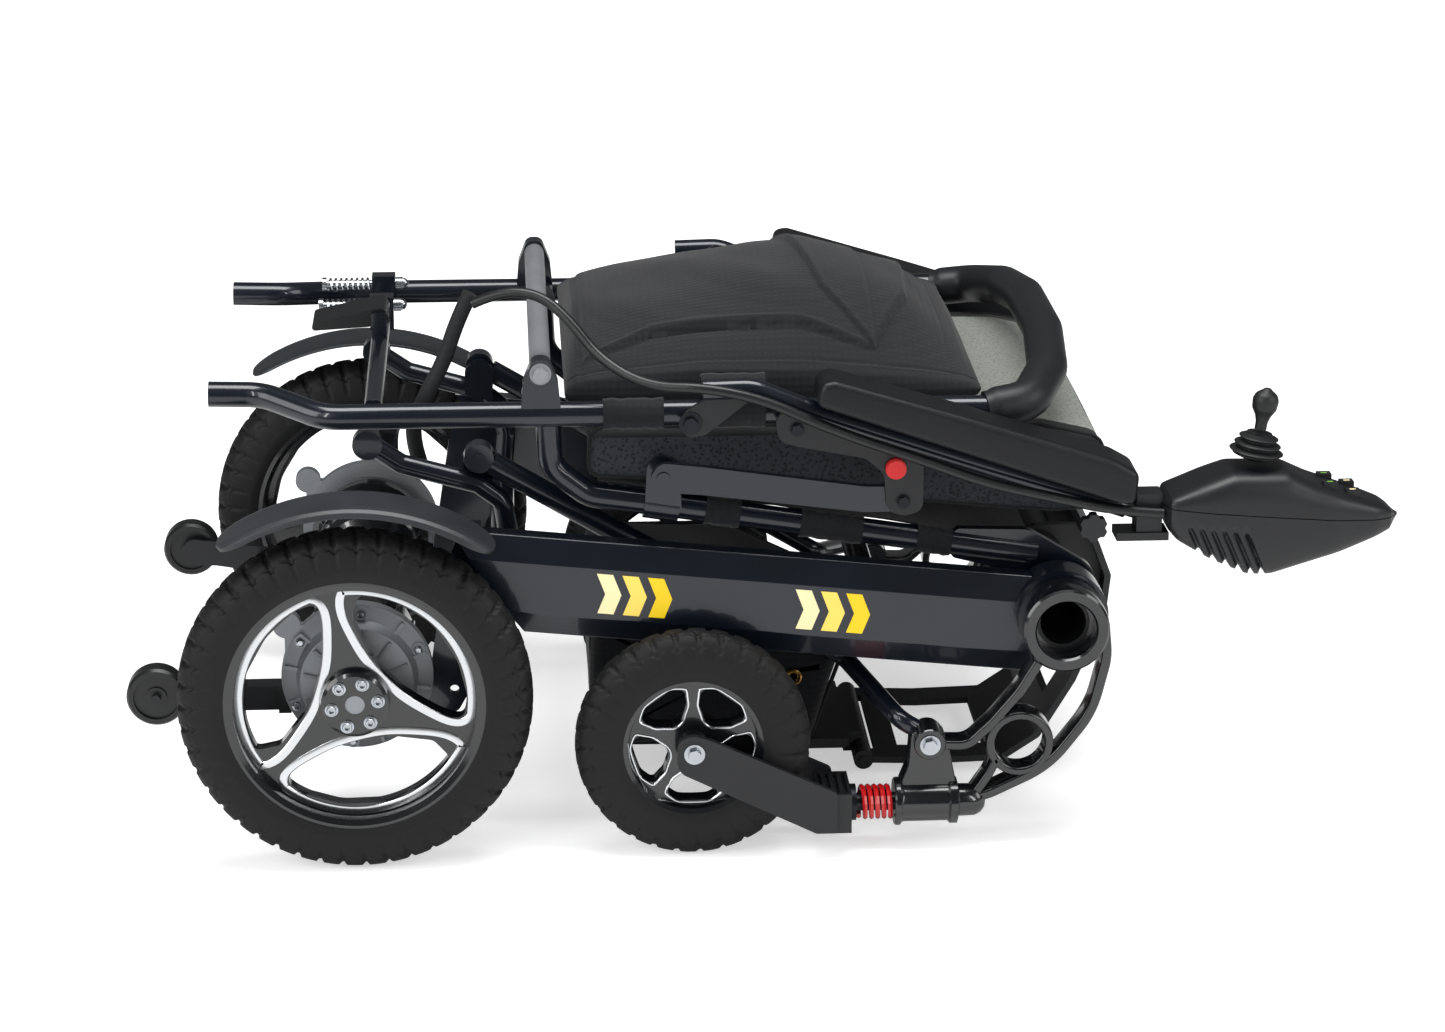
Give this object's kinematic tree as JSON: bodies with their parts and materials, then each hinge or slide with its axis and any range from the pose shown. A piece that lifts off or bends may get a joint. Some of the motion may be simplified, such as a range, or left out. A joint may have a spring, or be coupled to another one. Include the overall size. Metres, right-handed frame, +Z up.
{
  "type": "folding power wheelchair",
  "caption": "Folded electric wheelchair: drive wheels with geared motors, sprung casters, fold-flat back and seat, armrests and joystick controller.",
  "frame": {"origin": "on the floor, midway between the rear of the anti-tip rollers and the nose of the joystick, on the middle plane", "axes": "+X to the front of the chair, +Y to the user's left, +Z up"},
  "size_m": [1.0989, 0.602, 0.4921],
  "materials": {
    "frame_paint": "gloss metallic",
    "cast_paint": "gloss",
    "silver_metal": "satin zinc plated",
    "cast_alloy": "as cast, satin",
    "motor_paint": "gloss",
    "bare_alloy": "satin",
    "tyre_rubber": "matt",
    "roller_plastic": "satin",
    "fender_plastic": "matt",
    "black_fabric": "woven nylon",
    "grey_mesh": "woven mesh",
    "foam": "matt foam",
    "pad_skin": "grained",
    "red_spring": "gloss",
    "red_button": "gloss",
    "joystick_plastic": "fine matt",
    "cable_jacket": "satin"
  },
  "bodies": {
    "main": {"main_frame": "frame_paint", "gearboxes": "cast_alloy", "motors": "motor_paint", "anti_tip_outriggers": "cast_paint", "fenders": "fender_plastic", "battery_bag": "black_fabric"},
    "front_legs": {"leg_casting_right": "cast_paint", "leg_casting_left": "cast_paint", "footrest_hanger": "cast_paint", "leg_bolts": "silver_metal"},
    "footplate": {"footplate": "cast_paint"},
    "strut_tubes": {"strut_tubes": "frame_paint"},
    "strut_rods": {"strut_rods": "frame_paint"},
    "seat": {"seat_frame": "frame_paint", "seat_cushion": "grey_mesh"},
    "back": {"back_cane_right": "frame_paint", "back_cane_left": "frame_paint", "back_cross_bar": "bare_alloy", "latch_cross_tube": "frame_paint", "foam_grip": "foam", "back_sling": "black_fabric", "cable_loom": "cable_jacket"},
    "latch_lever": {"latch_lever": "roller_plastic"},
    "latch_bolts": {"latch_bolts": "silver_metal", "latch_springs": "silver_metal"},
    "armrest_posts": {"armrest_posts": "frame_paint"},
    "armrests": {"armrest_plates": "cast_paint", "armrest_tubes": "frame_paint", "armrest_pads": "pad_skin", "armrest_bolts": "silver_metal", "joystick_cable": "cable_jacket"},
    "armrest_button_right": {"armrest_button_right": "red_button"},
    "armrest_button_left": {"armrest_button_left": "red_button"},
    "joystick": {"joystick_bracket": "joystick_plastic", "joystick_lower_shell": "joystick_plastic", "joystick_upper_shell": "joystick_plastic"},
    "bracket_knob": {"bracket_knob": "joystick_plastic"},
    "joystick_gaiter": {"joystick_gaiter": "joystick_plastic"},
    "joystick_stick": {"joystick_stick": "joystick_plastic"},
    "joystick_keys": {"joystick_keys": "joystick_plastic"},
    "drive_wheel_right": {"drive_tyre_right": "tyre_rubber", "drive_rim_right": "cast_paint", "hub_bolts_right": "silver_metal"},
    "anti_tip_wheel_right": {"anti_tip_wheel_right": "roller_plastic"},
    "caster_stem_right": {"caster_stem_right": "silver_metal", "suspension_spring_right": "red_spring"},
    "caster_fork_right": {"caster_fork_right": "cast_paint", "caster_axle_right": "silver_metal"},
    "caster_wheel_right": {"caster_tyre_right": "tyre_rubber", "caster_rim_right": "cast_paint"},
    "drive_wheel_left": {"drive_tyre_left": "tyre_rubber", "drive_rim_left": "cast_paint", "hub_bolts_left": "silver_metal"},
    "anti_tip_wheel_left": {"anti_tip_wheel_left": "roller_plastic"},
    "caster_stem_left": {"caster_stem_left": "silver_metal", "suspension_spring_left": "red_spring"},
    "caster_fork_left": {"caster_fork_left": "cast_paint", "caster_axle_left": "silver_metal"},
    "caster_wheel_left": {"caster_tyre_left": "tyre_rubber", "caster_rim_left": "cast_paint"}
  },
  "joints": [
    {"name": "front_leg_fold", "type": "hinge", "parent": "main", "child": "front_legs", "pos_m": [0.263, 0, 0.201], "axis": [0, -1, 0], "range_deg": [0, 64]},
    {"name": "footplate_flip", "type": "hinge", "parent": "front_legs", "child": "footplate", "pos_m": [0.106, 0, 0.015], "axis": [0, -1, 0], "range_deg": [0, 116]},
    {"name": "strut_hinge", "type": "hinge", "parent": "main", "child": "strut_tubes", "pos_m": [-0.241, 0, 0.331], "axis": [0, -1, 0], "range_deg": [0, 3.84]},
    {"name": "strut_slide", "type": "slide", "parent": "strut_tubes", "child": "strut_rods", "axis": [0.8577, 0, -0.5142], "range_m": [0, 0.1614]},
    {"name": "seat_fold", "type": "hinge", "parent": "main", "child": "seat", "pos_m": [0.263, 0, 0.201], "axis": [0, -1, 0], "range_deg": [-18.7, 0]},
    {"name": "back_fold", "type": "hinge", "parent": "seat", "child": "back", "pos_m": [-0.181, 0, 0.386], "axis": [0, -1, 0], "range_deg": [0, 92.7]},
    {"name": "armrest_post_fold", "type": "hinge", "parent": "seat", "child": "armrest_posts", "pos_m": [-0.083, 0, 0.333], "axis": [0, -1, 0], "range_deg": [0, 68.9]},
    {"name": "armrest_fold", "type": "hinge", "parent": "back", "child": "armrests", "pos_m": [-0.06, 0, 0.384], "axis": [0, -1, 0], "range_deg": [-68.1, 0]},
    {"name": "latch_lever_turn", "type": "hinge", "parent": "back", "child": "latch_lever", "pos_m": [-0.33, 0, 0.415], "axis": [0, -1, 0], "range_deg": [-30, 0], "stiffness_Nm_per_rad": 0.3},
    {"name": "latch_bolt_slide", "type": "slide", "parent": "back", "child": "latch_bolts", "axis": [1, 0, 0], "range_m": [0, 0.01], "stiffness_N_per_m": 600, "deforming": ["latch_springs"]},
    {"name": "armrest_button_press_right", "type": "slide", "parent": "armrests", "child": "armrest_button_right", "axis": [0, 1, 0], "range_m": [0, 0.001], "stiffness_N_per_m": 400},
    {"name": "armrest_button_press_left", "type": "slide", "parent": "armrests", "child": "armrest_button_left", "axis": [0, -1, 0], "range_m": [0, 0.001], "stiffness_N_per_m": 400},
    {"name": "joystick_reach", "type": "slide", "parent": "armrests", "child": "joystick", "axis": [0.948, 0, -0.3183], "range_m": [0, 0.03]},
    {"name": "bracket_knob_turn", "type": "hinge", "parent": "armrests", "child": "bracket_knob", "pos_m": [0.284, 0, 0.293], "axis": [0, 1, 0], "continuous": true},
    {"name": "joystick_tilt_forward", "type": "hinge", "parent": "joystick", "child": "joystick_gaiter", "pos_m": [0.424, -0.2505, 0.343], "axis": [0, 1, 0], "range_deg": [-14, 14], "stiffness_Nm_per_rad": 0.08},
    {"name": "joystick_tilt_sideways", "type": "hinge", "parent": "joystick_gaiter", "child": "joystick_stick", "pos_m": [0.424, -0.2505, 0.343], "axis": [1, 0, 0], "range_deg": [-14, 14], "stiffness_Nm_per_rad": 0.05},
    {"name": "joystick_key_press", "type": "slide", "parent": "joystick", "child": "joystick_keys", "axis": [0, 0, -1], "range_m": [0, 0.001], "stiffness_N_per_m": 500},
    {"name": "drive_wheel_right_spin", "type": "hinge", "parent": "main", "child": "drive_wheel_right", "pos_m": [-0.35, -0.27, 0.1525], "axis": [0, 1, 0], "continuous": true},
    {"name": "anti_tip_wheel_right_spin", "type": "hinge", "parent": "main", "child": "anti_tip_wheel_right", "pos_m": [-0.525, -0.206, 0.136], "axis": [0, 1, 0], "continuous": true},
    {"name": "caster_suspension_right", "type": "slide", "parent": "front_legs", "child": "caster_stem_right", "axis": [1, 0, 0], "range_m": [0, 0.01], "stiffness_N_per_m": 40000, "deforming": ["suspension_spring_right"]},
    {"name": "caster_swivel_right", "type": "hinge", "parent": "caster_stem_right", "child": "caster_fork_right", "pos_m": [0.06, -0.26, 0.042], "axis": [1, 0, 0], "range_deg": [0, 180]},
    {"name": "caster_wheel_right_spin", "type": "hinge", "parent": "caster_fork_right", "child": "caster_wheel_right", "pos_m": [-0.06, -0.26, 0.1025], "axis": [0, 1, 0], "continuous": true},
    {"name": "drive_wheel_left_spin", "type": "hinge", "parent": "main", "child": "drive_wheel_left", "pos_m": [-0.35, 0.27, 0.1525], "axis": [0, 1, 0], "continuous": true},
    {"name": "anti_tip_wheel_left_spin", "type": "hinge", "parent": "main", "child": "anti_tip_wheel_left", "pos_m": [-0.525, 0.206, 0.136], "axis": [0, 1, 0], "continuous": true},
    {"name": "caster_suspension_left", "type": "slide", "parent": "front_legs", "child": "caster_stem_left", "axis": [1, 0, 0], "range_m": [0, 0.01], "stiffness_N_per_m": 40000, "deforming": ["suspension_spring_left"]},
    {"name": "caster_swivel_left", "type": "hinge", "parent": "caster_stem_left", "child": "caster_fork_left", "pos_m": [0.06, 0.26, 0.042], "axis": [-1, 0, 0], "range_deg": [0, 180]},
    {"name": "caster_wheel_left_spin", "type": "hinge", "parent": "caster_fork_left", "child": "caster_wheel_left", "pos_m": [-0.06, 0.26, 0.1025], "axis": [0, 1, 0], "continuous": true}
  ],
  "couplings": [
    {"joint": "strut_hinge", "follows": "front_leg_fold", "ratio": 0.058438},
    {"joint": "seat_fold", "follows": "front_leg_fold", "ratio": -0.28906},
    {"joint": "back_fold", "follows": "front_leg_fold", "ratio": 1.4453},
    {"joint": "armrest_post_fold", "follows": "front_leg_fold", "ratio": 1.0734},
    {"joint": "armrest_fold", "follows": "front_leg_fold", "ratio": -1.0609},
    {"joint": "strut_slide", "follows": "front_leg_fold", "m_per_rad": 0.14405}
  ]
}
